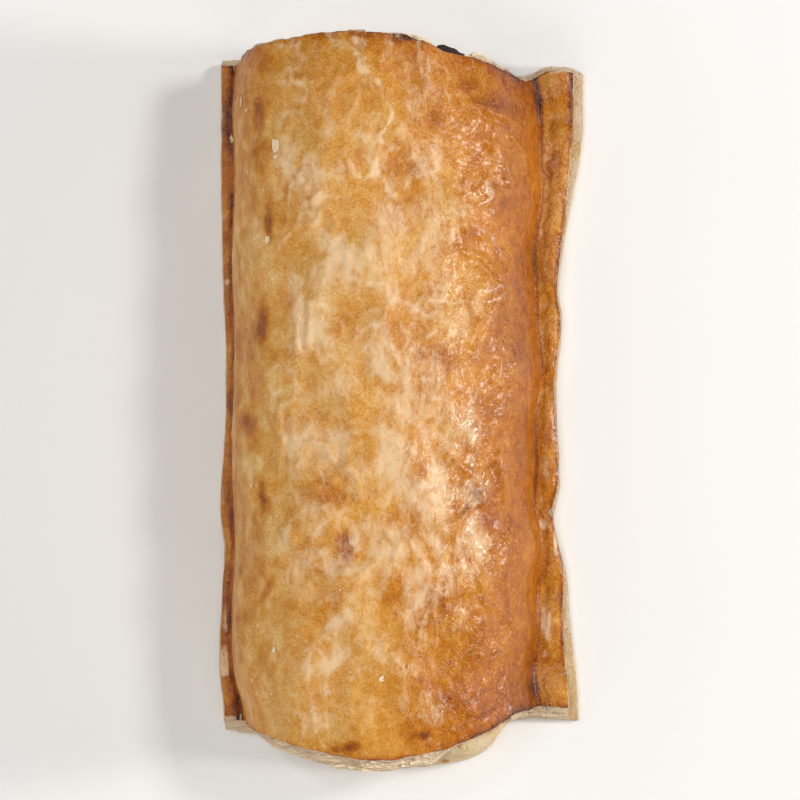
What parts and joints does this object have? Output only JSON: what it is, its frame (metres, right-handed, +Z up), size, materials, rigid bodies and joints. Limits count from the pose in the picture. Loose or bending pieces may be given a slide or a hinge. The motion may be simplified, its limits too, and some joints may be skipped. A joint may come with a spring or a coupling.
{
  "type": "sausage roll",
  "caption": "Baked puff pastry roll: a glazed top sheet arched over sausage meat and pressed onto a paler bottom sheet, open at both cut ends.",
  "frame": {"origin": "on the table under the middle of the roll, in the flat underside of the bottom sheet", "axes": "+X across the roll towards its sloping side with the wide pressed rim, +Y along the roll away from the end with the puffed tongue, +Z up"},
  "size_m": [0.0759, 0.1502, 0.0359],
  "materials": {
    "top_pastry": "egg-glazed and baked golden brown, in part satin and in part glossy",
    "bottom_pastry": "matt pale baked pastry with flaky cut edges",
    "filling": "moist baked sausage meat, scorched where it swells out at the far end"
  },
  "bodies": {
    "root": {"top_pastry": "top_pastry", "bottom_pastry": "bottom_pastry", "filling": "filling"}
  },
  "joints": []
}
